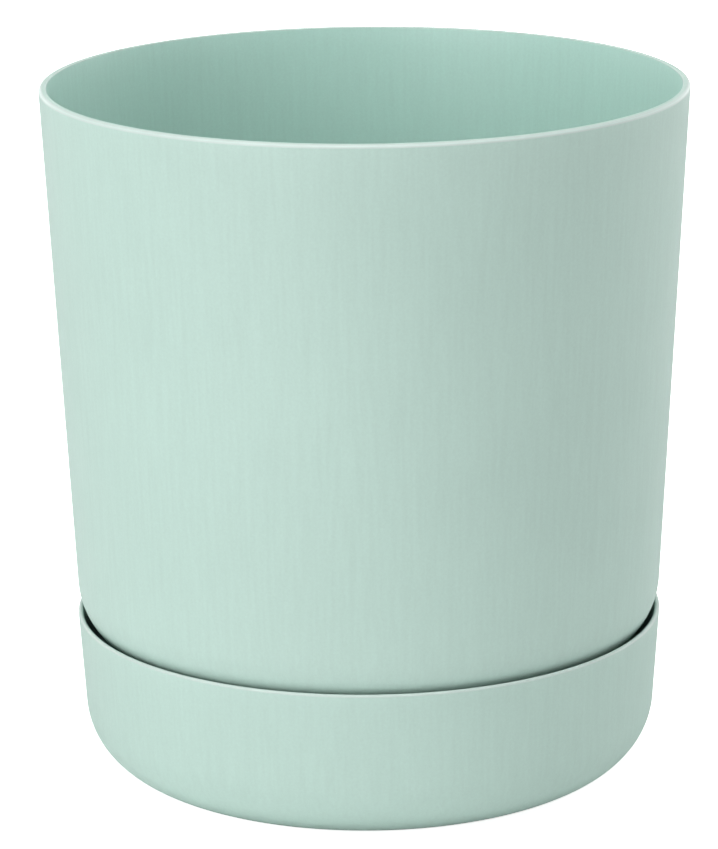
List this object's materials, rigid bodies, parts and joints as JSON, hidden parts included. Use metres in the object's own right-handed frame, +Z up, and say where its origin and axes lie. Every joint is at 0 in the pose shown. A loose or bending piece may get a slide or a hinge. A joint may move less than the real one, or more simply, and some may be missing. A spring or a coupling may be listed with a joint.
{
  "type": "self watering planter",
  "caption": "Tapered round plant pot with a thin rounded lip, standing in a deep round saucer that stores water, with a lift-out soil grid and felt wicks in slotted cups.",
  "frame": {"origin": "centre of the saucer's underside, on the surface that the planter stands on", "axes": "+Z is up along the planter's axis, -Y is the front and +X is the right hand side seen from the front"},
  "size_m": [0.1998, 0.1998, 0.2175],
  "materials": {
    "mint_plastic": "matte",
    "mint_plastic_inner": "matte",
    "wick_felt": "matte"
  },
  "bodies": {
    "saucer": {"saucer": "mint_plastic"},
    "pot": {"planter_pot": "mint_plastic"},
    "grid": {"soil_grid": "mint_plastic_inner"},
    "cup_1": {"wick_cup_1": "mint_plastic_inner"},
    "wick_1": {"felt_wick_1": "wick_felt"},
    "cup_2": {"wick_cup_2": "mint_plastic_inner"},
    "wick_2": {"felt_wick_2": "wick_felt"},
    "cup_3": {"wick_cup_3": "mint_plastic_inner"},
    "wick_3": {"felt_wick_3": "wick_felt"},
    "cup_4": {"wick_cup_4": "mint_plastic_inner"},
    "wick_4": {"felt_wick_4": "wick_felt"}
  },
  "joints": [
    {"name": "pot_lift", "type": "slide", "parent": "saucer", "child": "pot", "axis": [0, 0, 1], "range_m": [0, 0.06]},
    {"name": "grid_lift", "type": "slide", "parent": "pot", "child": "grid", "axis": [0, 0, 1], "range_m": [0, 0.22]},
    {"name": "cup_1_lift", "type": "slide", "parent": "grid", "child": "cup_1", "axis": [0, 0, 1], "range_m": [0, 0.055]},
    {"name": "wick_1_lift", "type": "slide", "parent": "cup_1", "child": "wick_1", "axis": [0, 0, 1], "range_m": [0, 0.055]},
    {"name": "cup_2_lift", "type": "slide", "parent": "grid", "child": "cup_2", "axis": [0, 0, 1], "range_m": [0, 0.055]},
    {"name": "wick_2_lift", "type": "slide", "parent": "cup_2", "child": "wick_2", "axis": [0, 0, 1], "range_m": [0, 0.055]},
    {"name": "cup_3_lift", "type": "slide", "parent": "grid", "child": "cup_3", "axis": [0, 0, 1], "range_m": [0, 0.055]},
    {"name": "wick_3_lift", "type": "slide", "parent": "cup_3", "child": "wick_3", "axis": [0, 0, 1], "range_m": [0, 0.055]},
    {"name": "cup_4_lift", "type": "slide", "parent": "grid", "child": "cup_4", "axis": [0, 0, 1], "range_m": [0, 0.055]},
    {"name": "wick_4_lift", "type": "slide", "parent": "cup_4", "child": "wick_4", "axis": [0, 0, 1], "range_m": [0, 0.055]}
  ]
}
